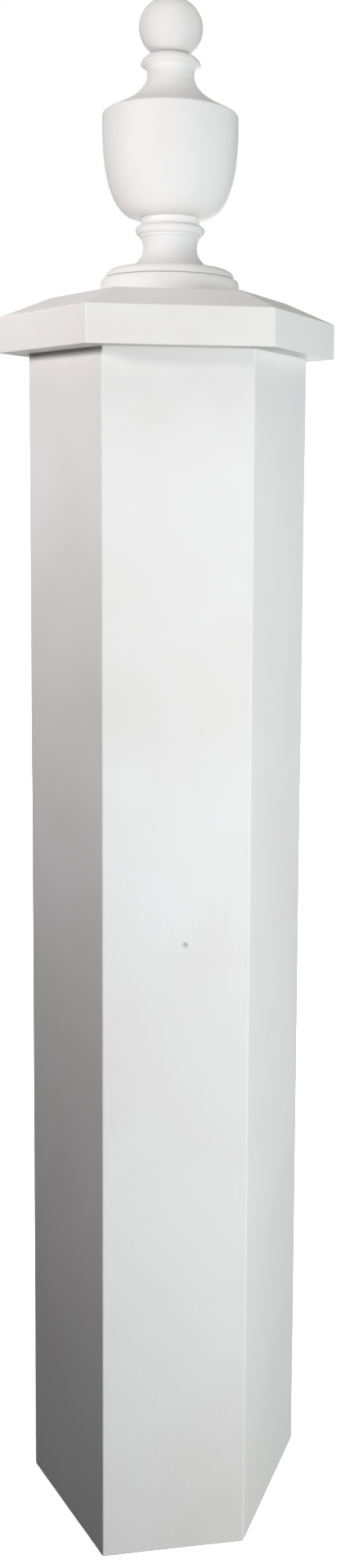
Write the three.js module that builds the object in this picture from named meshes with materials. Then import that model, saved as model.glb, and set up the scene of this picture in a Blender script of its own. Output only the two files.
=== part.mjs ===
// Newel post: a hexagonal box shaft, a hexagonal cap and a turned urn finial.
// Millimetres, +Z up, origin at the middle of the shaft's foot.
import * as THREE from 'three';

// Shaft
const shaftFlats = 203; // across its flats
const shaftHeight = 993;
const shaftWall = 19;

// Cap
const capOverhang = 21; // past each face of the shaft
const capRim = 29.5; // upright band
const capBevelRun = 37; // from the rim in to the platform
const capBevelRise = 17;

// Finial, from its foot up: each member has its radius and its own height
const footRadius = 58;
const footSide = 11;
const footRound = 5.5;
const footRoundRun = 2.5;
const grooveDepth = 1.5; // in from the disc's edge
const grooveHeight = 1;
const discRadius = 53.5;
const discEdge = 1.5;
const discCrown = 6.5;
const discTopRadius = 42;
const lowerNeckRadius = 22.5;
const lowerCove = 17.5; // from the disc up to the lower neck
const lowerNeckFlare = 8.5; // from the neck up to the bead's fillet
const filletRadius = 25.8;
const filletHeight = 1.6;
const beadRadius = 29;
const beadLower = 4.6; // from the fillet up to the bead's widest ring
const beadUpper = 3.4;
const stripRadius = 24.5;
const stripHeight = 6;
const bowlRadius = 56.5;
const bowlCurve = 80; // height of the bowl's rounded part
const bowlFullness = 2.5; // 2 is an ellipse, more is fuller
const bowlSide = 2.2;
const lipRun = 3.4;
const lipRise = 3.6;
const lipPull = 2; // how far the lip holds each of its end directions
const shoulderRun = 6.7;
const shoulderRise = 3.4;
const lidFlare = 27.7; // from the shoulder up to the upper neck
const lidShoulderPull = 8; // how far the lid holds the shoulder's slope
const lidNeckPull = 14; // how far it stays upright below the neck
const upperNeckRadius = 19.3;
const collarCove = 5.5;
const collarCoveRadius = 21.2;
const collarRadius = 24.9;
const collarChamfer = 2.2;
const collarCrown = 8.3;
const creaseRadius = 12; // where the ball meets the collar
const ballRadius = 26.4;
const ballLowerHeight = 25; // from the ball's widest ring down, if it were whole
const ballUpperHeight = 24.3;

// Fineness of the turned surface
const turnedSides = 48;
const arcSteps = 4;
const lipSteps = 3;
const bowlSteps = 10;
const flareSteps = 6;
const ballSteps = 12;

const hexagonSides = 6;
const quarterTurn = Math.PI / 2;
const upward = new THREE.Vector2(0, 1);
const paint = { color: '#e6e6e4', roughness: 0.45, metalness: 0 };

/** The corner radius of a regular hexagon, from the distance across its flats. */
function cornerRadius(flats) {
  return flats / 2 / Math.cos(Math.PI / hexagonSides);
}

/** Turns a closed or axis-to-axis outline of [radius, height] pairs about +Z. */
function turned(outline, sides) {
  const points = outline.map(([radius, height]) => new THREE.Vector2(radius, height));
  const geometry = new THREE.LatheGeometry(points, sides, quarterTurn);
  geometry.rotateX(quarterTurn);
  return geometry;
}

/** A quarter arc between two points. It leaves upright and arrives level, or the other way round. */
function quarter([r0, z0], [r1, z1], leaves, steps = arcSteps, fullness = 2) {
  const points = [];
  for (let i = 1; i <= steps; i += 1) {
    const angle = (i / steps) * quarterTurn;
    const near = Math.cos(angle) ** (2 / fullness);
    const far = Math.sin(angle) ** (2 / fullness);
    const [r, z] = leaves === 'upright'
      ? [r1 + (r0 - r1) * near, z0 + (z1 - z0) * far]
      : [r0 + (r1 - r0) * far, z1 + (z0 - z1) * near];
    points.push(i === steps ? [r1, z1] : [r, z]);
  }
  return points;
}

/** A direction with a length: which way, and how far, a bend holds its course at one of its ends. */
function pull(direction, length) {
  return direction.clone().setLength(length);
}

/** A smooth bend between two points, with the pull it leaves by and the one it arrives by. */
function bend(start, leaving, end, arriving, steps) {
  const from = new THREE.Vector2(...start);
  const to = new THREE.Vector2(...end);
  const curve = new THREE.CubicBezierCurve(from, from.clone().add(leaving), to.clone().sub(arriving), to);
  return curve.getPoints(steps).slice(1).map((point) => [point.x, point.y]);
}

/** The ball, from its crease over its widest ring to the top of the finial. */
function ball(creaseHeight, steps) {
  const start = Math.acos(creaseRadius / ballRadius);
  const middle = creaseHeight + ballLowerHeight * Math.sin(start);
  const points = [];
  for (let i = 1; i <= steps; i += 1) {
    const angle = -start + (i / steps) * (start + quarterTurn);
    const half = angle < 0 ? ballLowerHeight : ballUpperHeight;
    points.push([ballRadius * Math.cos(angle), middle + half * Math.sin(angle)]);
  }
  points[points.length - 1] = [0, middle + ballUpperHeight];
  return points;
}

function makeShaft() {
  const outer = cornerRadius(shaftFlats);
  const inner = cornerRadius(shaftFlats - 2 * shaftWall);
  const outline = [[inner, 0], [outer, 0], [outer, shaftHeight], [inner, shaftHeight], [inner, 0]];
  return turned(outline, hexagonSides);
}

function makeCap() {
  const flats = shaftFlats + 2 * capOverhang;
  const rim = cornerRadius(flats);
  const platform = cornerRadius(flats - 2 * capBevelRun);
  const top = capRim + capBevelRise;
  return turned([[0, 0], [rim, 0], [rim, capRim], [platform, top], [0, top]], hexagonSides);
}

function makeFinial() {
  const outline = [[0, 0], [footRadius, 0]];
  let height = footSide;
  const lift = (rise) => { height += rise; return height; };
  const last = () => outline[outline.length - 1];

  outline.push([footRadius, height]);
  outline.push(...quarter(last(), [footRadius - footRoundRun, lift(footRound)], 'upright'));
  outline.push([discRadius - grooveDepth, height], [discRadius - grooveDepth, lift(grooveHeight)]);

  outline.push([discRadius, height], [discRadius, lift(discEdge)]);
  outline.push(...quarter(last(), [discTopRadius, lift(discCrown)], 'upright'));
  outline.push(...quarter(last(), [lowerNeckRadius, lift(lowerCove)], 'level', flareSteps));
  outline.push(...quarter(last(), [filletRadius, lift(lowerNeckFlare)], 'upright'));
  outline.push([filletRadius, lift(filletHeight)]);

  outline.push(...quarter(last(), [beadRadius, lift(beadLower)], 'level'));
  outline.push(...quarter(last(), [stripRadius, lift(beadUpper)], 'upright'));
  outline.push([stripRadius, lift(stripHeight)]);

  outline.push(...quarter(last(), [bowlRadius, lift(bowlCurve)], 'level', bowlSteps, bowlFullness));
  outline.push([bowlRadius, lift(bowlSide)]);

  const slope = new THREE.Vector2(-shoulderRun, shoulderRise);
  const lipTop = [bowlRadius - lipRun, lift(lipRise)];
  outline.push(...bend(last(), pull(upward, lipPull), lipTop, pull(slope, lipPull), lipSteps));
  outline.push([bowlRadius - lipRun - shoulderRun, lift(shoulderRise)]);
  const neck = [upperNeckRadius, lift(lidFlare)];
  outline.push(...bend(last(), pull(slope, lidShoulderPull), neck, pull(upward, lidNeckPull), flareSteps));
  outline.push(...quarter(last(), [collarCoveRadius, lift(collarCove)], 'upright'));
  outline.push([collarRadius, lift(collarChamfer)]);
  outline.push(...quarter(last(), [creaseRadius, lift(collarCrown)], 'upright'));
  outline.push(...ball(height, ballSteps));
  return turned(outline, turnedSides);
}

/** A named sub-part with its own paint. */
function piece(name, geometry, height) {
  const mesh = new THREE.Mesh(geometry, new THREE.MeshStandardMaterial(paint));
  mesh.name = name;
  mesh.position.z = height;
  return mesh;
}

const post = new THREE.Group();
post.add(piece('shaft', makeShaft(), 0));
post.add(piece('cap', makeCap(), shaftHeight));
post.add(piece('finial', makeFinial(), shaftHeight + capRim + capBevelRise));

export default post;
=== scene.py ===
"""Newel post in white eggshell paint: a hexagonal box shaft, a bevelled cap and a turned urn finial.

Every length in a dataclass field is in millimetres unless its comment says otherwise, and the
objects themselves are in metres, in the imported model's own frame.
"""
import logging
import math
from contextlib import contextmanager
from dataclasses import dataclass, field
from enum import Enum
from typing import Any, Callable, Iterator, Sequence

import bmesh
import bpy
from mathutils import Matrix, Vector


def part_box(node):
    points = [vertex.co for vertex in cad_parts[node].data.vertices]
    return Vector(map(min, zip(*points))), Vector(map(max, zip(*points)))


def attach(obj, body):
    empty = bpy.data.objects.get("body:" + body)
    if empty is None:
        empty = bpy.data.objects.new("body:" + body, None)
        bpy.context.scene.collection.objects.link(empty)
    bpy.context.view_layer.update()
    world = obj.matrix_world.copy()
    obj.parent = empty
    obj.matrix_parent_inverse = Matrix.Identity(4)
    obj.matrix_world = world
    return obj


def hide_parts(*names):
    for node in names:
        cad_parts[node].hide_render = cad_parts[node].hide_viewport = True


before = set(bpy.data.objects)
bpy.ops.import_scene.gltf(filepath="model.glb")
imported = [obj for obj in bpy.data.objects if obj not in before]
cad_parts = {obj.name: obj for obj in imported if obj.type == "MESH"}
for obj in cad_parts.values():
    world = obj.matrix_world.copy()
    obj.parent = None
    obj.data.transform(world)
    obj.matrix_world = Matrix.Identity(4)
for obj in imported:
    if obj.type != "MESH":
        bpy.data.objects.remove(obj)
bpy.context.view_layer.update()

LOG = logging.getLogger("newel_post")
MM = 0.001
BODY = "root"
QUARTER = math.pi / 2
HEXAGON = 6
SIDE = math.tau / HEXAGON  # turn from one face of the hexagon to the next
FRONT = -QUARTER  # direction of the front face's normal, from +X
FRONT_LEFT = FRONT - SIDE
WELD = 0.02  # what is closer together than this counts as one
SLACK = 1.0  # how far off a face or a corner something may be and still count as on it
ALONG = 0.9  # cosine past which a direction counts as roughly along an axis
EXACTLY_ALONG = 0.999  # and as exactly along it
UPWARD = Vector((0.0, 1.0))  # on the outline of a turned piece

Point = tuple[float, float]
Piece = bpy.types.Object
Material = bpy.types.Material
Tree = bpy.types.NodeTree
Socket = bpy.types.NodeSocket
Test = Callable[[Vector, Vector], bool]


class Element(Enum):
    """What edit mode selects."""

    VERTEX = "VERT"
    EDGE = "EDGE"
    FACE = "FACE"


class Ends(Enum):
    """What a prism has at both ends."""

    OPEN = "NOTHING"
    CLOSED = "NGON"


class Leaves(Enum):
    """The course that a quarter arc of the turning starts on."""

    UPRIGHT = "upright"
    LEVEL = "level"


class Laid(Enum):
    """Which way brush strokes and the wood under them run, as how far they stretch on x, y and z."""

    ALONG_THE_POST = (1.0, 1.0, 0.03)
    ROUND_THE_TURNING = (0.03, 0.03, 1.0)
    ACROSS_THE_CAP = (0.05, 1.0, 1.0)


# Helpers for modelling


def corner_radius(flats: float) -> float:
    """Corner radius of a regular hexagon, from the distance across its flats."""
    return flats / 2 / math.cos(math.pi / HEXAGON)


def only(*pieces: Piece) -> None:
    """Deselects everything, then selects these pieces and makes the first one active.

    Args:
        pieces: The objects that the next operator acts on.
    """
    bpy.ops.object.select_all(action="DESELECT")
    for piece in pieces:
        piece.select_set(True)
    if pieces:
        bpy.context.view_layer.objects.active = pieces[0]


def named(name: str) -> Piece:
    """Names the active object and its mesh, and puts its place into the mesh.

    Args:
        name: The piece's name.

    Returns:
        The active object.
    """
    piece = bpy.context.active_object
    piece.name = piece.data.name = name
    bpy.ops.object.transform_apply(location=True, rotation=True, scale=True)
    return piece


@contextmanager
def editing(piece: Piece, element: Element) -> Iterator[None]:
    """Opens a piece in edit mode with nothing selected, and closes it afterwards.

    Args:
        piece: The object to edit.
        element: What is going to be selected.

    Yields:
        Nothing.
    """
    only(piece)
    bpy.ops.object.mode_set(mode="EDIT")
    bpy.ops.mesh.select_mode(type=element.value)
    bpy.ops.mesh.select_all(action="DESELECT")
    try:
        yield
    finally:
        bpy.ops.object.mode_set(mode="OBJECT")


def pick_faces(piece: Piece, test: Test) -> None:
    """Selects the faces of the open mesh that pass a test.

    Args:
        piece: The object that is open in edit mode.
        test: Takes a face's middle and its normal.
    """
    mesh = bmesh.from_edit_mesh(piece.data)
    for face in mesh.faces:
        if test(face.calc_center_median(), face.normal):
            face.select_set(True)
    mesh.select_flush_mode()
    bmesh.update_edit_mesh(piece.data)


def pick_edges(piece: Piece, test: Test) -> None:
    """Selects the edges of the open mesh that pass a test.

    Args:
        piece: The object that is open in edit mode.
        test: Takes an edge's middle and its direction.
    """
    mesh = bmesh.from_edit_mesh(piece.data)
    for edge in mesh.edges:
        start, end = (vertex.co for vertex in edge.verts)
        if test((start + end) / 2, (end - start).normalized()):
            edge.select_set(True)
    mesh.select_flush_mode()
    bmesh.update_edit_mesh(piece.data)


def round_selected(element: Element, reach: float, steps: int) -> None:
    """Rounds the selected vertices or edges of the open mesh.

    Args:
        element: Which of the two are rounded.
        reach: How far the round reaches to each side.
        steps: How many facets it has.
    """
    affect = "VERTICES" if element is Element.VERTEX else "EDGES"
    bpy.ops.mesh.bevel(offset=reach * MM, segments=steps, profile=0.5, affect=affect)


def hexagonal(name: str, flats: float, seat: float, height: float, ends: Ends) -> Piece:
    """Makes an upright hexagonal prism with a flat face to the front.

    Args:
        name: The piece's name.
        flats: Its size across the flats.
        seat: Height of its underside.
        height: Its own height.
        ends: Whether its ends are open or closed.

    Returns:
        The prism.
    """
    only()
    bpy.ops.mesh.primitive_cylinder_add(
        vertices=HEXAGON, radius=corner_radius(flats) * MM, depth=height * MM,
        end_fill_type=ends.value, location=(0, 0, (seat + height / 2) * MM),
        rotation=(0, 0, SIDE / 2))
    return named(name)


def finish_modifier(piece: Piece, kind: str, **settings: Any) -> None:
    """Adds a modifier and applies it.

    Args:
        piece: The object that gets it.
        kind: Blender's name for the modifier type.
        settings: Properties of the modifier.
    """
    only(piece)
    modifier = piece.modifiers.new(kind.title(), kind)
    for name, value in settings.items():
        setattr(modifier, name, value)
    bpy.ops.object.modifier_apply(modifier=modifier.name)


def face_outwards(piece: Piece) -> None:
    """Merges a piece's seams and poles, and turns its faces outwards.

    Args:
        piece: The object to clean.
    """
    with editing(piece, Element.VERTEX):
        bpy.ops.mesh.select_all(action="SELECT")
        bpy.ops.mesh.remove_doubles(threshold=WELD * MM)
        bpy.ops.mesh.normals_make_consistent(inside=False)


def smooth(piece: Piece, angle: float) -> None:
    """Shades a piece smooth below an angle, and keeps its large flat faces flat to the light.

    Args:
        piece: The object to shade.
        angle: The sharpest turn in degrees that is still shaded smooth.
    """
    only(piece)
    bpy.ops.object.shade_smooth_by_angle(angle=math.radians(angle))
    finish_modifier(piece, "WEIGHTED_NORMAL", keep_sharp=True, weight=100)


def cad_size(node: str) -> tuple[float, ...]:
    """A CAD node's size along x, y and z, to a tenth of a millimetre."""
    return tuple(round((high - low) / MM, 1) for low, high in zip(*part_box(node)))


def radius_of(place: Vector) -> float:
    """Distance of a point from the post's axis, in metres."""
    return math.hypot(place.x, place.y)


def facing(place: Vector) -> float:
    """Distance of a point from the axis along the nearest face's normal, in metres."""
    nearest = (math.floor(math.atan2(place.y, place.x) / SIDE) + 0.5) * SIDE
    return place.x * math.cos(nearest) + place.y * math.sin(nearest)


# Helpers for materials


def linear(hex_colour: str) -> tuple[float, float, float, float]:
    """Turns an sRGB hex colour into linear RGBA.

    Args:
        hex_colour: A colour such as "#e9e9e7".

    Returns:
        Red, green, blue and an alpha of 1.
    """
    channels = [int(hex_colour[i:i + 2], 16) / 255 for i in (1, 3, 5)]
    red, green, blue = (c / 12.92 if c <= 0.04045 else ((c + 0.055) / 1.055) ** 2.4 for c in channels)
    return red, green, blue, 1.0


def add_node(tree: Tree, kind: str, inputs: dict | None = None,
             **settings: Any) -> bpy.types.Node:
    """Adds one node with its settings and links.

    Args:
        tree: The node tree that the node goes into.
        kind: Blender's name for the node type.
        inputs: For each input socket, by name or number, its value or the output that feeds it.
        settings: Properties of the node.

    Returns:
        The new node.
    """
    node = tree.nodes.new(kind)
    for name, value in settings.items():
        setattr(node, name, value)
    for socket, value in (inputs or {}).items():
        if isinstance(value, Socket):
            tree.links.new(value, node.inputs[socket])
        else:
            node.inputs[socket].default_value = value
    return node


def blank(name: str) -> tuple[Material, Tree]:
    """Makes a material with an empty node tree.

    Args:
        name: The material's name.

    Returns:
        The material and its tree.
    """
    material = bpy.data.materials.new(name)
    material.use_nodes = True
    material.node_tree.nodes.clear()
    return material, material.node_tree


def blend(tree: Tree, factor: Socket, first: Any, second: Any) -> Socket:
    """Mixes two colours.

    Args:
        tree: The node tree.
        factor: How much of the second, from 0 to 1.
        first: A colour or the output that gives one.
        second: The same.

    Returns:
        The mixed colour.
    """
    mix = add_node(tree, "ShaderNodeMix", {"Factor": factor, "A": first, "B": second}, data_type="RGBA")
    return mix.outputs["Result"]


def per_mm(size: float) -> float:
    """Noise scale, in cells per metre, whose cells are this many millimetres wide."""
    return 1 / (size * MM)


@dataclass(frozen=True)
class Mark:
    """A small stopped hole, with the paint greyed over it, most in its middle."""

    place: Vector
    radius: float  # where the last of the grey fades out
    strength: float  # how much of the grey the middle shows, from 0 to 1


@dataclass(frozen=True)
class EggshellPaint:
    """Eggshell alkyd paint, brushed and rolled on poplar in several coats.

    To the eye: a slightly warm white without a clear highlight, a fine orange peel, strokes that
    follow the piece, edges rubbed smoother and painted paler as a highlight, and painted shade in
    creases.
    """

    name: str
    laid: Laid
    fresh: str = "#ebebe9"
    aged: str = "#e4e3df"
    patch: float = 210.0  # width of a patch that has aged differently
    aged_between: Point = (0.38, 0.68)  # patch noise where ageing sets in and where it is complete
    peel: float = 2.4  # width of an orange peel dimple
    stroke: float = 1.6  # width of a brush ridge, drawn about twice as coarse as it is, to show
    peel_height: float = 0.07
    peel_strength: float = 0.6
    stroke_height: float = 0.08
    stroke_strength: float = 0.5
    roughness: float = 0.62
    roughness_spread: float = 0.06
    ior: float = 1.5
    # Paler colour painted along the edges as a highlight; the roughness change is real rubbing
    edge_highlight: str = "#f3f3f1"
    rubbed_and_highlight_reach: float = 1.6  # how far from an edge the rubbing and the painted highlight reach
    rubbed_and_highlight_between: Point = (0.995, 0.93)  # cosine off the true normal where the rubbing and the painted highlight start and peak
    rubbed_and_highlight_most: float = 0.6  # share of the painted highlight's colour on the sharpest edge
    rubbed_smoother: float = 0.12
    # Darker colour painted into the creases as shade
    crease_shade: str = "#c9c6bd"
    crease_shade_reach: float = 5.0  # how wide a crease still gets painted shade
    crease_shade_between: Point = (0.85, 0.45)  # openness where the painted shade starts and where it is darkest
    crease_shade_most: float = 0.45
    # Grey put over each dent, fading out round it
    dent_grey: str = "#b9b9b6"
    dent_grey_core: float = 0.2  # share of a mark's radius that shows it in full
    samples: int = 4  # for finding edges and creases
    marks: Sequence[Mark] = ()

    def material(self) -> Material:
        """Builds the material.

        Returns:
            The material.
        """
        material, tree = blank(self.name)
        place = add_node(tree, "ShaderNodeTexCoord").outputs["Object"]
        normal, gloss = self._film(tree, place)
        colour = self._aged(tree, place)
        colour = self._greyed_over_dents(tree, place, colour)
        colour, gloss = self._worn_with_painted_light(tree, colour, gloss)
        shader = add_node(tree, "ShaderNodeBsdfPrincipled", {
            "Base Color": colour, "Roughness": gloss, "IOR": self.ior, "Normal": normal})
        add_node(tree, "ShaderNodeOutputMaterial", {"Surface": shader.outputs["BSDF"]})
        return material

    def _aged(self, tree: Tree, place: Socket) -> Socket:
        """Makes the paint's own colour, a little yellower in broad patches.

        Args:
            tree: The material's tree.
            place: Object coordinates.

        Returns:
            The colour.
        """
        patches = add_node(tree, "ShaderNodeTexNoise", {
            "Vector": place, "Scale": per_mm(self.patch), "Detail": 3.0, "Roughness": 0.55})
        start, end = self.aged_between
        age = add_node(tree, "ShaderNodeMapRange", {
            "Value": patches.outputs["Fac"], "From Min": start, "From Max": end})
        return blend(tree, age.outputs["Result"], linear(self.fresh), linear(self.aged))

    def _film(self, tree: Tree, place: Socket) -> tuple[Socket, Socket]:
        """Makes the relief of the brush strokes and the orange peel.

        Args:
            tree: The material's tree.
            place: Object coordinates.

        Returns:
            The normal, and the roughness, which the strokes vary.
        """
        stretched = add_node(tree, "ShaderNodeMapping", {"Vector": place, "Scale": self.laid.value})
        strokes = add_node(tree, "ShaderNodeTexNoise", {
            "Vector": stretched.outputs["Vector"], "Scale": per_mm(self.stroke), "Detail": 2.0})
        peel = add_node(tree, "ShaderNodeTexNoise", {
            "Vector": place, "Scale": per_mm(self.peel), "Detail": 1.0})
        stroke_bump = add_node(tree, "ShaderNodeBump", {
            "Height": strokes.outputs["Fac"], "Strength": self.stroke_strength,
            "Distance": self.stroke_height * MM})
        bump = add_node(tree, "ShaderNodeBump", {
            "Height": peel.outputs["Fac"], "Strength": self.peel_strength,
            "Distance": self.peel_height * MM, "Normal": stroke_bump.outputs["Normal"]})
        gloss = add_node(tree, "ShaderNodeMapRange", {
            "Value": strokes.outputs["Fac"],
            "To Min": self.roughness - self.roughness_spread,
            "To Max": self.roughness + self.roughness_spread})
        return bump.outputs["Normal"], gloss.outputs["Result"]

    def _greyed_over_dents(self, tree: Tree, place: Socket, colour: Socket) -> Socket:
        """Greys the paint over each stopped hole, most in its middle and fading out round it.

        Args:
            tree: The material's tree.
            place: Object coordinates.
            colour: The colour so far.

        Returns:
            The colour with the marks.
        """
        for mark in self.marks:
            away = add_node(tree, "ShaderNodeVectorMath", {0: place, 1: mark.place * MM},
                            operation="DISTANCE")
            near = add_node(tree, "ShaderNodeMapRange", {
                "Value": away.outputs["Value"], "From Min": self.dent_grey_core * mark.radius * MM,
                "From Max": mark.radius * MM, "To Min": mark.strength, "To Max": 0.0},
                interpolation_type="SMOOTHSTEP")
            # A grey spot, darkest in the dent's middle and fading out round it
            colour = blend(tree, near.outputs["Result"], colour, linear(self.dent_grey))
        return colour

    def _worn_with_painted_light(self, tree: Tree, colour: Socket, gloss: Socket) -> tuple[Socket, Socket]:
        """Rubs the edges smoother, paints them paler as a highlight, and paints shade into the creases.

        Args:
            tree: The material's tree.
            colour: The colour so far.
            gloss: The roughness so far.

        Returns:
            The colour and the roughness with the wear, the painted highlight and the painted shade.
        """
        rounded = add_node(tree, "ShaderNodeBevel", {"Radius": self.rubbed_and_highlight_reach * MM},
                           samples=self.samples)
        flat = add_node(tree, "ShaderNodeNewGeometry").outputs["Normal"]
        alike = add_node(tree, "ShaderNodeVectorMath", {0: rounded.outputs["Normal"], 1: flat},
                         operation="DOT_PRODUCT")
        # Edge mask, for the real rubbing and for the painted highlight
        start, end = self.rubbed_and_highlight_between
        edge = add_node(tree, "ShaderNodeMapRange", {
            "Value": alike.outputs["Value"], "From Min": start, "From Max": end,
            "To Max": self.rubbed_and_highlight_most})
        # Painted highlight: the edges get a paler colour
        colour = blend(tree, edge.outputs["Result"], colour, linear(self.edge_highlight))
        smoother = add_node(tree, "ShaderNodeMath", {
            0: edge.outputs["Result"], 1: -self.rubbed_smoother, 2: gloss}, operation="MULTIPLY_ADD")
        # Painted shade: darker colour in the creases, by how closed in they are
        open_sky = add_node(tree, "ShaderNodeAmbientOcclusion", {"Distance": self.crease_shade_reach * MM},
                            samples=self.samples, only_local=True)
        start, end = self.crease_shade_between
        shaded_crease = add_node(tree, "ShaderNodeMapRange", {
            "Value": open_sky.outputs["AO"], "From Min": start, "From Max": end,
            "To Max": self.crease_shade_most})
        colour = blend(tree, shaded_crease.outputs["Result"], colour, linear(self.crease_shade))
        return colour, smoother.outputs["Value"]


@dataclass(frozen=True)
class BarePoplar:
    """Poplar boards as they left the planer, never painted, inside the box and under its foot.

    To the eye: a dull greenish straw with long grain lines and faint darker mineral streaks.
    """

    name: str
    light: str = "#c9b98f"
    dark: str = "#9c8a5f"
    dark_between: Point = (0.35, 0.68)  # grain noise where a line starts and where it is darkest
    grain: float = 3.0  # spacing of the growth lines on a flat-sawn board
    grain_run: tuple[float, float, float] = (1.0, 1.0, 0.025)  # stretches them along the board
    grain_height: float = 0.15
    grain_strength: float = 0.5
    roughness: float = 0.72
    ior: float = 1.5

    def material(self) -> Material:
        """Builds the material.

        Returns:
            The material.
        """
        material, tree = blank(self.name)
        place = add_node(tree, "ShaderNodeTexCoord").outputs["Object"]
        stretched = add_node(tree, "ShaderNodeMapping", {"Vector": place, "Scale": self.grain_run})
        lines = add_node(tree, "ShaderNodeTexNoise", {
            "Vector": stretched.outputs["Vector"], "Scale": per_mm(self.grain), "Detail": 4.0,
            "Roughness": 0.6, "Distortion": 0.3})
        start, end = self.dark_between
        tone = add_node(tree, "ShaderNodeMapRange", {
            "Value": lines.outputs["Fac"], "From Min": start, "From Max": end})
        colour = blend(tree, tone.outputs["Result"], linear(self.light), linear(self.dark))
        bump = add_node(tree, "ShaderNodeBump", {
            "Height": lines.outputs["Fac"], "Strength": self.grain_strength,
            "Distance": self.grain_height * MM})
        shader = add_node(tree, "ShaderNodeBsdfPrincipled", {
            "Base Color": colour, "Roughness": self.roughness, "IOR": self.ior,
            "Normal": bump.outputs["Normal"]})
        add_node(tree, "ShaderNodeOutputMaterial", {"Surface": shader.outputs["BSDF"]})
        return material


@dataclass(frozen=True)
class StudioPaper:
    """Seamless studio paper: matt, pale and even, with a faint mottle."""

    name: str
    pale: str = "#f4f4f3"
    mottled: str = "#f0f0ef"
    mottle: float = 60.0  # width of a mottled spot
    roughness: float = 0.9

    def material(self) -> Material:
        """Builds the material.

        Returns:
            The material.
        """
        material, tree = blank(self.name)
        place = add_node(tree, "ShaderNodeTexCoord").outputs["Object"]
        mottle = add_node(tree, "ShaderNodeTexNoise", {"Vector": place, "Scale": per_mm(self.mottle)})
        colour = blend(tree, mottle.outputs["Fac"], linear(self.pale), linear(self.mottled))
        shader = add_node(tree, "ShaderNodeBsdfPrincipled", {
            "Base Color": colour, "Roughness": self.roughness})
        add_node(tree, "ShaderNodeOutputMaterial", {"Surface": shader.outputs["BSDF"]})
        return material


# The newel post


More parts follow.
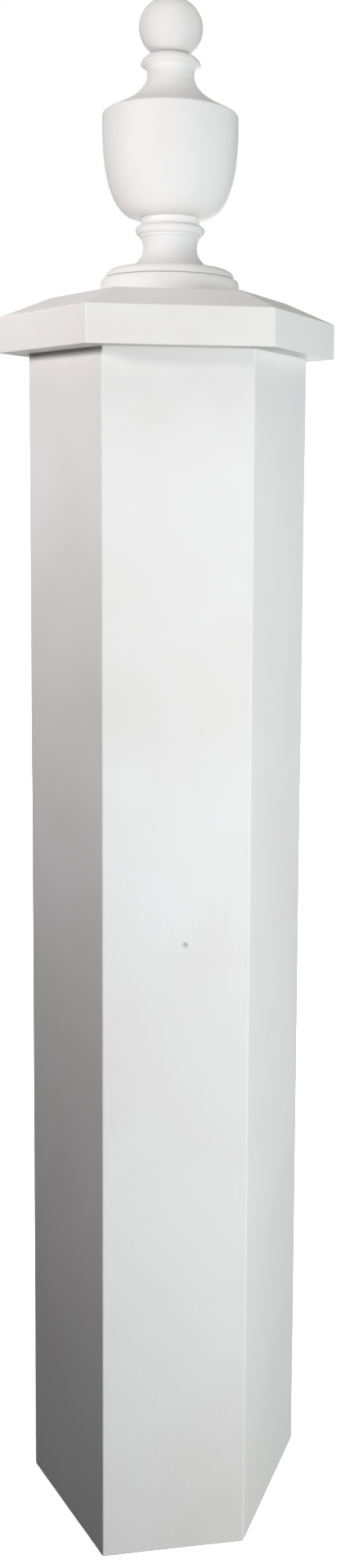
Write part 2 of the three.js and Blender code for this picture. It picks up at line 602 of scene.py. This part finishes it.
@dataclass
class Shaft:
    """The hexagonal box: six mitred boards glued into one tube, open at both ends."""

    flats: float
    height: float
    wall: float = 19.0
    eased: float = 1.1  # how far an eased edge reaches along each face
    ease_steps: int = 3
    shade_smooth: float = 35.0  # degrees
    pin: Point = (6.6, 520.4)  # on the front face: right of its middle, and height
    pin_dent: Sequence[Point] = (  # radius and depth of each ring
        (3.1, 0.0), (2.6, 0.2), (2.0, 0.5), (1.2, 0.72), (0.5, 0.8))
    stopped_nails: Sequence[Point] = ((50.7, 934.2), (44.3, 867.5))  # on the face to its left
    stopped_dent: Sequence[Point] = ((1.9, 0.0), (1.3, 0.12), (0.6, 0.2))
    fades: Sequence[Point] = ((3.9, 0.85), (2.8, 0.25), (2.8, 0.14))  # radius and strength of each mark
    dent_sides: int = 24
    dent_clearance: float = 2.0  # how far the tool that sinks a dent stands out of the face

    @property
    def bore(self) -> float:
        """The hollow's size across its flats."""
        return self.flats - 2 * self.wall

    def build(self) -> Piece:
        """Models the shaft.

        Returns:
            The finished piece, without its materials.
        """
        tube = self._tube()
        self._ease(tube)
        self._sink(tube, FRONT, self.pin, self.pin_dent)
        for nail in self.stopped_nails:
            self._sink(tube, FRONT_LEFT, nail, self.stopped_dent)
        with editing(tube, Element.VERTEX):
            bpy.ops.mesh.select_all(action="SELECT")
            bpy.ops.mesh.remove_doubles(threshold=WELD * MM)
            bpy.ops.mesh.dissolve_degenerate(threshold=WELD * MM)
        smooth(tube, self.shade_smooth)
        return tube

    def _tube(self) -> Piece:
        """Raises the hexagon and gives its wall the boards' thickness.

        Returns:
            The tube.
        """
        tube = hexagonal("Newel_Shaft", self.flats, 0.0, self.height, Ends.OPEN)
        face_outwards(tube)
        finish_modifier(tube, "SOLIDIFY", thickness=self.wall * MM, offset=-1.0, use_even_offset=True)
        return tube

    def _ease(self, tube: Piece) -> None:
        """Rounds the six outer corners and the outer edge of the foot.

        Args:
            tube: The shaft.
        """
        rim = (corner_radius(self.flats) - SLACK) * MM
        face = (self.flats / 2 - SLACK) * MM
        with editing(tube, Element.EDGE):
            pick_edges(tube, lambda place, way: abs(way.z) > ALONG and radius_of(place) > rim)
            pick_edges(tube, lambda place, way: place.z < WELD * MM and facing(place) > face)
            round_selected(Element.EDGE, self.eased, self.ease_steps)

    def _on_face(self, turn: float, place: Point) -> tuple[Vector, Vector]:
        """Finds a place on one of the six faces.

        Args:
            turn: Direction of the face's normal, in radians from +X.
            place: Right of the face's own middle seen from outside, and height.

        Returns:
            The face's normal, and the place in millimetres.
        """
        normal = Vector((math.cos(turn), math.sin(turn), 0.0))
        side = Vector((-math.sin(turn), math.cos(turn), 0.0))
        return normal, normal * (self.flats / 2) + side * place[0] + Vector((0, 0, place[1]))

    def marks(self) -> list[Mark]:
        """Finds where the paint is greyed over the pin's hole and the two stopped nails.

        Returns:
            The pin's mark, then those of the nails.
        """
        places = [self._on_face(FRONT, self.pin)[1]]
        places += [self._on_face(FRONT_LEFT, nail)[1] for nail in self.stopped_nails]
        return [Mark(place, *fade) for place, fade in zip(places, self.fades)]

    def _sink(self, tube: Piece, turn: float, place: Point, dent: Sequence[Point]) -> None:
        """Sinks a small round dent into one face.

        Args:
            tube: The shaft.
            turn: Direction of the face's normal, in radians from +X.
            place: Its middle, right of the face's own middle seen from outside, and its height.
            dent: Radius and depth of each ring, from the surface inwards.
        """
        normal, seat = self._on_face(turn, place)
        mouth = dent[0][0]
        only()
        bpy.ops.mesh.primitive_cylinder_add(
            vertices=self.dent_sides, radius=mouth * MM, depth=self.dent_clearance * MM,
            location=(0, 0, self.dent_clearance / 2 * MM))
        cutter = named("Dent_Cutter")
        with editing(cutter, Element.FACE):
            pick_faces(cutter, lambda middle, way: way.z < -ALONG)
            for (wide, high), (narrow, low) in zip(dent, dent[1:]):
                bpy.ops.mesh.extrude_region_move(
                    TRANSFORM_OT_translate={"value": (0, 0, (high - low) * MM)})
                bpy.ops.transform.resize(value=(narrow / wide, narrow / wide, 1),
                                         center_override=(0, 0, 0))
        cutter.matrix_world = (Matrix.Translation(seat * MM)
                               @ normal.to_track_quat("Z", "Y").to_matrix().to_4x4())
        finish_modifier(tube, "BOOLEAN", operation="DIFFERENCE", solver="EXACT", object=cutter)
        bpy.data.objects.remove(cutter)

    def dress(self, shaft: Piece, paint: Material, bare: Material) -> None:
        """Paints the outside and leaves the inside and both ends bare.

        Args:
            shaft: The finished piece.
            paint: The finish of the outside.
            bare: The wood inside.
        """
        shaft.data.materials.append(paint)
        shaft.data.materials.append(bare)
        inside = (self.bore / 2 + SLACK) * MM
        for face in shaft.data.polygons:
            hidden = facing(face.center) < inside or abs(face.normal.z) > EXACTLY_ALONG
            face.material_index = 1 if hidden else 0


@dataclass
class Cap:
    """The hexagonal cap: an upright rim, a bevelled top and a flat platform."""

    box: Shaft
    overhang: float = 21.0  # past each face of the box
    rim: float = 29.5
    bevel_run: float = 37.0
    bevel_rise: float = 17.0
    eased: float = 0.9
    ease_steps: int = 3
    shade_smooth: float = 40.0  # degrees

    @property
    def flats(self) -> float:
        """The cap's size across its flats."""
        return self.box.flats + 2 * self.overhang

    @property
    def top(self) -> float:
        """Height of the platform."""
        return self.box.height + self.rim + self.bevel_rise

    def build(self) -> Piece:
        """Models the cap.

        Returns:
            The finished piece, without its materials.
        """
        cap = hexagonal("Newel_Cap", self.flats, self.box.height, self.rim, Ends.CLOSED)
        with editing(cap, Element.FACE):
            pick_faces(cap, lambda place, way: way.z > ALONG)
            bpy.ops.mesh.extrude_region_move(
                TRANSFORM_OT_translate={"value": (0, 0, self.bevel_rise * MM)})
            narrowed = 1 - 2 * self.bevel_run / self.flats
            bpy.ops.transform.resize(value=(narrowed, narrowed, 1), center_override=(0, 0, 0))
        with editing(cap, Element.EDGE):
            bpy.ops.mesh.select_all(action="SELECT")
            round_selected(Element.EDGE, self.eased, self.ease_steps)
        with editing(cap, Element.FACE):
            pick_faces(cap, lambda place, way: way.z < -EXACTLY_ALONG)
            bpy.ops.mesh.inset(thickness=((self.flats - self.box.bore) / 2 - self.eased) * MM)
        smooth(cap, self.shade_smooth)
        return cap

    def dress(self, cap: Piece, paint: Material, bare: Material) -> None:
        """Paints the cap and leaves bare what closes the box.

        Args:
            cap: The finished piece.
            paint: The finish of all that shows.
            bare: The wood over the box.
        """
        cap.data.materials.append(paint)
        cap.data.materials.append(bare)
        for face in cap.data.polygons:
            over_box = face.normal.z < -ALONG and radius_of(face.center) < self.box.bore / 4 * MM
            face.material_index = 1 if over_box else 0


@dataclass
class Outline:
    """Half the outline of a turned piece, drawn upwards from the middle of its foot."""

    points: list[Point] = field(default_factory=lambda: [(0.0, 0.0)])  # radius and height of each

    @property
    def top(self) -> float:
        """Height that the outline has reached."""
        return self.points[-1][1]

    def line(self, radius: float, rise: float = 0.0) -> None:
        """Carries the outline on straight to a radius and a rise."""
        self.points.append((radius, self.top + rise))

    def arc(self, radius: float, rise: float, leaves: Leaves, steps: int,
            fullness: float = 2.0) -> None:
        """Carries the outline on by a quarter arc.

        Args:
            radius: Radius that it reaches.
            rise: How far up that is.
            leaves: The course that it starts on.
            steps: How many straight pieces it has.
            fullness: 2 for an ellipse, more for a fuller curve.
        """
        first, low = self.points[-1]
        high = low + rise
        for i in range(1, steps + 1):
            angle = i / steps * QUARTER
            near, far = math.cos(angle) ** (2 / fullness), math.sin(angle) ** (2 / fullness)
            if leaves is Leaves.UPRIGHT:
                point = (radius + (first - radius) * near, low + rise * far)
            else:
                point = (first + (radius - first) * far, high - rise * near)
            self.points.append(point if i < steps else (radius, high))

    def bend(self, radius: float, rise: float, leaving: Vector, arriving: Vector, steps: int) -> None:
        """Carries the outline on by a smooth bend.

        Args:
            radius: Radius that it reaches.
            rise: How far up that is.
            leaving: Which way and how far it holds its course at the start.
            arriving: The same at the end.
            steps: How many straight pieces it has.
        """
        first, last = Vector(self.points[-1]), Vector((radius, self.top + rise))
        held = (first, first + leaving, last - arriving, last)
        for i in range(1, steps + 1):
            t = i / steps
            weights = ((1 - t) ** 3, 3 * t * (1 - t) ** 2, 3 * t * t * (1 - t), t ** 3)
            point = sum((w * p for w, p in zip(weights, held)), Vector((0.0, 0.0)))
            self.points.append((point.x, point.y))


@dataclass
class Finial:
    """The urn finial, turned in one piece from its round foot to the ball."""

    seat: float  # height of its underside
    foot_radius: float = 58.0
    foot_side: float = 11.0
    foot_round: float = 5.5  # height of its rounded edge
    foot_round_run: float = 2.5
    groove_depth: float = 1.5  # in from the disc's edge
    groove_height: float = 1.0
    disc_radius: float = 53.5
    disc_edge: float = 1.5
    disc_crown: float = 6.5
    disc_top_radius: float = 42.0
    lower_neck_radius: float = 22.5
    lower_cove: float = 17.5  # from the disc up to the lower neck
    lower_neck_flare: float = 8.5  # from the neck up to the bead's fillet
    fillet_radius: float = 25.8
    fillet_height: float = 1.6
    bead_radius: float = 29.0
    bead_lower: float = 4.6  # from the fillet up to the bead's widest ring
    bead_upper: float = 3.4
    strip_radius: float = 24.5
    strip_height: float = 6.0
    bowl_radius: float = 56.5
    bowl_curve: float = 80.0  # height of the bowl's rounded part
    bowl_fullness: float = 2.5  # 2 is an ellipse, more is fuller
    bowl_side: float = 2.2
    lip_run: float = 3.4
    lip_rise: float = 3.6
    lip_pull: float = 2.0  # how far the lip holds each of its end directions
    shoulder_run: float = 6.7
    shoulder_rise: float = 3.4
    lid_flare: float = 27.7  # from the shoulder up to the upper neck
    lid_shoulder_pull: float = 8.0  # how far the lid holds the shoulder's slope
    lid_neck_pull: float = 14.0  # how far it stays upright below the neck
    upper_neck_radius: float = 19.3
    collar_cove: float = 5.5
    collar_cove_radius: float = 21.2
    collar_radius: float = 24.9
    collar_chamfer: float = 2.2
    collar_crown: float = 8.3
    crease_radius: float = 12.0  # where the ball meets the collar
    ball_radius: float = 26.4
    ball_lower_height: float = 25.0  # from the ball's widest ring down, if it were whole
    ball_upper_height: float = 24.3
    arc_steps: int = 8
    bowl_steps: int = 28
    flare_steps: int = 16
    ball_steps: int = 32
    sides: int = 144
    shade_smooth: float = 40.0  # degrees
    crisp: float = 28.0  # a turn in degrees past which sanding has left a small round
    sanded: float = 0.35  # how far that round reaches
    sanded_steps: int = 3
    sanded_room: float = 2.2  # the shortest side of such a corner, in reaches of the round

    @property
    def _slope(self) -> Vector:
        """Direction that the shoulder rises in."""
        return Vector((-self.shoulder_run, self.shoulder_rise)).normalized()

    def build(self) -> Piece:
        """Models the finial.

        Returns:
            The finished piece, without its material.
        """
        outline = self._outline()
        only()
        bpy.ops.mesh.primitive_plane_add(size=MM, location=(0, 0, self.seat * MM))
        finial = named("Newel_Finial")
        with editing(finial, Element.VERTEX):
            bpy.ops.mesh.select_all(action="SELECT")
            bpy.ops.mesh.merge(type="CENTER")
            here = Vector((0, 0, self.seat * MM))
            for radius, height in outline[1:]:
                there = Vector((radius * MM, 0, (self.seat + height) * MM))
                bpy.ops.mesh.extrude_region_move(TRANSFORM_OT_translate={"value": there - here})
                here = there
        self._sand(finial)
        with editing(finial, Element.VERTEX):
            bpy.ops.mesh.select_all(action="SELECT")
            bpy.ops.mesh.spin(steps=self.sides, angle=math.tau, center=(0, 0, 0), axis=(0, 0, 1),
                              use_auto_merge=True)
        face_outwards(finial)
        smooth(finial, self.shade_smooth)
        return finial

    def _sand(self, finial: Piece) -> None:
        """Rounds the outline's crisp corners.

        Args:
            finial: The finial, still an open outline.
        """
        with editing(finial, Element.VERTEX):
            mesh = bmesh.from_edit_mesh(finial.data)
            for vertex in mesh.verts:
                if len(vertex.link_edges) == 2:
                    ways = [edge.other_vert(vertex).co - vertex.co for edge in vertex.link_edges]
                    shortest = min(way.length for way in ways)
                    turn = 180 - math.degrees(ways[0].angle(ways[1]))
                    room = self.sanded_room * self.sanded * MM
                    vertex.select_set(turn > self.crisp and shortest > room)
            mesh.select_flush_mode()
            bmesh.update_edit_mesh(finial.data)
            round_selected(Element.VERTEX, self.sanded, self.sanded_steps)

    def _outline(self) -> list[Point]:
        """Draws the half outline from the middle of the foot to the top.

        Returns:
            Its points, each with its radius and its height above the seat.
        """
        outline = Outline()
        self._draw_foot(outline)
        self._draw_bowl(outline)
        self._draw_lid(outline)
        self._draw_ball(outline)
        return outline.points

    def _draw_foot(self, outline: Outline) -> None:
        """Draws the foot, the disc on it, and the lower neck with its bead.

        Args:
            outline: The outline so far.
        """
        groove = self.disc_radius - self.groove_depth
        outline.line(self.foot_radius)
        outline.line(self.foot_radius, self.foot_side)
        outline.arc(self.foot_radius - self.foot_round_run, self.foot_round, Leaves.UPRIGHT,
                    self.arc_steps)
        outline.line(groove)
        outline.line(groove, self.groove_height)
        outline.line(self.disc_radius)
        outline.line(self.disc_radius, self.disc_edge)
        outline.arc(self.disc_top_radius, self.disc_crown, Leaves.UPRIGHT, self.arc_steps)
        outline.arc(self.lower_neck_radius, self.lower_cove, Leaves.LEVEL, self.flare_steps)
        outline.arc(self.fillet_radius, self.lower_neck_flare, Leaves.UPRIGHT, self.arc_steps)
        outline.line(self.fillet_radius, self.fillet_height)
        outline.arc(self.bead_radius, self.bead_lower, Leaves.LEVEL, self.arc_steps)
        outline.arc(self.strip_radius, self.bead_upper, Leaves.UPRIGHT, self.arc_steps)

    def _draw_bowl(self, outline: Outline) -> None:
        """Draws the strip under the bowl, the bowl, its lip and its shoulder.

        Args:
            outline: The outline so far.
        """
        outline.line(self.strip_radius, self.strip_height)
        outline.arc(self.bowl_radius, self.bowl_curve, Leaves.LEVEL, self.bowl_steps,
                    self.bowl_fullness)
        outline.line(self.bowl_radius, self.bowl_side)
        lip = self.bowl_radius - self.lip_run
        outline.bend(lip, self.lip_rise, UPWARD * self.lip_pull, self._slope * self.lip_pull,
                     self.arc_steps)
        outline.line(lip - self.shoulder_run, self.shoulder_rise)

    def _draw_lid(self, outline: Outline) -> None:
        """Draws the lid up to the upper neck, and the collar over it.

        Args:
            outline: The outline so far.
        """
        outline.bend(self.upper_neck_radius, self.lid_flare, self._slope * self.lid_shoulder_pull,
                     UPWARD * self.lid_neck_pull, self.flare_steps)
        outline.arc(self.collar_cove_radius, self.collar_cove, Leaves.UPRIGHT, self.arc_steps)
        outline.line(self.collar_radius, self.collar_chamfer)
        outline.arc(self.crease_radius, self.collar_crown, Leaves.UPRIGHT, self.arc_steps)

    def _draw_ball(self, outline: Outline) -> None:
        """Draws the ball, from its crease over its widest ring to the top.

        Args:
            outline: The outline so far.
        """
        start = math.acos(self.crease_radius / self.ball_radius)
        widest = outline.top + self.ball_lower_height * math.sin(start)
        for i in range(1, self.ball_steps + 1):
            angle = -start + i / self.ball_steps * (start + QUARTER)
            half = self.ball_lower_height if angle < 0 else self.ball_upper_height
            radius = self.ball_radius * math.cos(angle) if i < self.ball_steps else 0.0
            outline.points.append((radius, widest + half * math.sin(angle)))

    def dress(self, finial: Piece, paint: Material) -> None:
        """Paints the finial all over."""
        finial.data.materials.append(paint)


# The studio


WHITE = "#ffffff"
SKY_WHITE = "#f9fffe"
COOL_WHITE = "#f3f3ff"
ROSE_WHITE = "#fffafd"
WARM_WHITE = "#fffcf0"


@dataclass(frozen=True)
class SoftBox:
    """One soft area light. Its lengths are in metres and its power in watts."""

    name: str
    place: tuple[float, float, float]
    aim: tuple[float, float, float]
    width: float
    power: float
    colour: str

    def put(self) -> Piece:
        """Hangs the light, hidden from the camera.

        Returns:
            The light.
        """
        data = bpy.data.lights.new(self.name, "AREA")
        data.shape, data.size = "SQUARE", self.width
        data.energy, data.color = self.power, linear(self.colour)[:3]
        light = bpy.data.objects.new(self.name, data)
        bpy.context.scene.collection.objects.link(light)
        way = Vector(self.aim) - Vector(self.place)
        light.location = self.place
        light.rotation_euler = way.to_track_quat("-Z", "Y").to_euler()
        light.visible_camera = False
        return light


@dataclass
class Studio:
    """A pale floor that fades into a pale surround, and the lights on the post."""

    floor_size: float = 600.0
    floor_light: float = 5.6  # watts per square metre
    floor_light_height: float = 55.0  # degrees above the horizon
    floor_light_turn: float = 35.0  # degrees from the front round to the right
    floor_light_size: float = 50.0  # degrees, as seen from the floor
    surround: str = "#ffffff"
    ambience: str = "#eef2f6"
    ambient_strength: float = 0.02
    boxes: Sequence[SoftBox] = (  # each with its name, place, aim, width, power and colour
        SoftBox("Key_In_Front", (0.45, -1.3, 0.35), (0.0, 0.0, 0.5), 0.5, 2.4, SKY_WHITE),
        SoftBox("Key_On_The_Right", (0.7, -1.3, 0.2), (0.0, 0.0, 0.5), 0.4, 6.8, WHITE),
        SoftBox("Fill_On_The_Right", (1.5, -1.2, 0.75), (0.0, 0.0, 0.7), 0.8, 10.5, SKY_WHITE),
        SoftBox("Fill_By_The_Camera", (0.8, -1.3, 0.9), (0.0, 0.0, 0.8), 0.6, 7.5, COOL_WHITE),
        SoftBox("Lamp_On_The_Left", (-0.75, -0.32, 1.14), (0.0, 0.0, 1.0), 0.15, 2.6, ROSE_WHITE),
        SoftBox("Lamp_Far_On_The_Left", (-0.9, -0.1, 1.15), (0.0, 0.0, 1.0), 0.2, 0.7, ROSE_WHITE),
        SoftBox("Lamp_High_On_The_Left", (-0.75, -0.5, 1.22), (0.0, 0.0, 1.0), 0.15, 2.3, ROSE_WHITE),
        SoftBox("Ceiling", (0.3, -0.6, 2.6), (0.0, 0.0, 1.1), 1.2, 8.5, WARM_WHITE),
        SoftBox("Ceiling_On_The_Left", (-0.6, -0.1, 2.4), (0.0, 0.0, 1.1), 1.0, 4.3, COOL_WHITE),
        SoftBox("Lamp_Behind", (0.4, 2.2, 0.9), (0.0, 0.0, 0.7), 1.2, 42.0, WHITE),
    )

    def build(self, paper: Material) -> None:
        """Lays the floor and sets the lights.

        Args:
            paper: The floor's finish.
        """
        only()
        bpy.ops.mesh.primitive_plane_add(size=self.floor_size)
        floor = named("Studio_Floor")
        floor.data.materials.append(paper)
        floor.visible_diffuse = False
        floor.visible_glossy = False
        self._light_floor(floor)
        for box in self.boxes:
            box.put()
        self._surround()

    def _light_floor(self, floor: Piece) -> None:
        """Gives the floor an even light of its own, which leaves the post alone.

        Args:
            floor: The floor.
        """
        data = bpy.data.lights.new("Floor_Light", "SUN")
        data.energy, data.angle = self.floor_light, math.radians(self.floor_light_size)
        sun = bpy.data.objects.new("Floor_Light", data)
        bpy.context.scene.collection.objects.link(sun)
        sun.rotation_euler = (math.radians(90 - self.floor_light_height), 0,
                              math.radians(self.floor_light_turn))
        lit = bpy.data.collections.new("Lit_By_Floor_Light")
        lit.objects.link(floor)
        sun.light_linking.receiver_collection = lit

    def _surround(self) -> None:
        """Sets a pale backdrop for the eye and a dim even light for the post."""
        world = bpy.data.worlds.new("Studio_Surround")
        world.use_nodes = True
        world.node_tree.nodes.clear()
        tree = world.node_tree
        seen = add_node(tree, "ShaderNodeBackground", {"Color": linear(self.surround), "Strength": 1.0})
        lighting = add_node(tree, "ShaderNodeBackground", {
            "Color": linear(self.ambience), "Strength": self.ambient_strength})
        rays = add_node(tree, "ShaderNodeLightPath")
        mixed = add_node(tree, "ShaderNodeMixShader", {
            0: rays.outputs["Is Camera Ray"], 1: lighting.outputs["Background"],
            2: seen.outputs["Background"]})
        add_node(tree, "ShaderNodeOutputWorld", {"Surface": mixed.outputs["Shader"]})
        bpy.context.scene.world = world


@dataclass(frozen=True)
class PhotoCamera:
    """The camera at the photograph's viewing angle. Place in metres, angles in degrees."""

    place: tuple[float, float, float] = (-0.0738, -1.0389, 0.9187)
    yaw: float = 7.67  # to the right of straight on
    pitch: float = -5.022
    roll: float = 0.538
    lens: float = 27.92
    film: float = 36.0  # the long side, in millimetres like the lens
    shift_x: float = -0.0477
    shift_y: float = -0.1477

    def put(self) -> None:
        """Makes the camera and makes it the scene's own."""
        data = bpy.data.cameras.new("Photo_Camera")
        data.lens, data.sensor_width = self.lens, self.film
        data.shift_x, data.shift_y = self.shift_x, self.shift_y
        camera = bpy.data.objects.new("Photo_Camera", data)
        bpy.context.scene.collection.objects.link(camera)
        camera.matrix_world = (
            Matrix.Translation(self.place)
            @ Matrix.Rotation(math.radians(-self.yaw), 4, "Z")
            @ Matrix.Rotation(math.radians(90 + self.pitch), 4, "X")
            @ Matrix.Rotation(math.radians(self.roll), 4, "Z"))
        bpy.context.scene.camera = camera


def place_piece(piece: Piece, node: str) -> None:
    """Puts a finished piece on the post in place of its CAD node.

    Args:
        piece: The finished piece.
        node: The CAD node that it stands for.
    """
    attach(piece, BODY)
    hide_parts(node)
    low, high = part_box(node)
    LOG.info("%s: %d faces, for node %s from %s to %s", piece.name, len(piece.data.polygons), node,
             [round(v, 4) for v in low], [round(v, 4) for v in high])


def main() -> None:
    """Builds the post, the studio and the camera."""
    logging.basicConfig(level=logging.INFO, format="%(name)s %(message)s")
    bpy.context.scene.view_settings.view_transform = "Standard"
    PhotoCamera().put()
    _, flats, height = cad_size("shaft")
    shaft_maker = Shaft(flats, height)
    cap_maker = Cap(shaft_maker)
    finial_maker = Finial(cap_maker.top)
    board_paint = EggshellPaint("Eggshell_Alkyd_Paint_On_Poplar_Boards", Laid.ALONG_THE_POST,
                                marks=shaft_maker.marks()).material()
    cap_paint = EggshellPaint("Eggshell_Alkyd_Paint_On_Poplar_Cap", Laid.ACROSS_THE_CAP).material()
    turned_paint = EggshellPaint("Eggshell_Alkyd_Paint_On_Turned_Poplar",
                                 Laid.ROUND_THE_TURNING).material()
    bare = BarePoplar("Bare_Planed_Poplar").material()

    shaft = shaft_maker.build()
    shaft_maker.dress(shaft, board_paint, bare)
    place_piece(shaft, "shaft")

    cap = cap_maker.build()
    cap_maker.dress(cap, cap_paint, bare)
    place_piece(cap, "cap")

    finial = finial_maker.build()
    finial_maker.dress(finial, turned_paint)
    place_piece(finial, "finial")

    Studio().build(StudioPaper("Matt_Seamless_Studio_Paper").material())


if __name__ == "__main__":
    main()
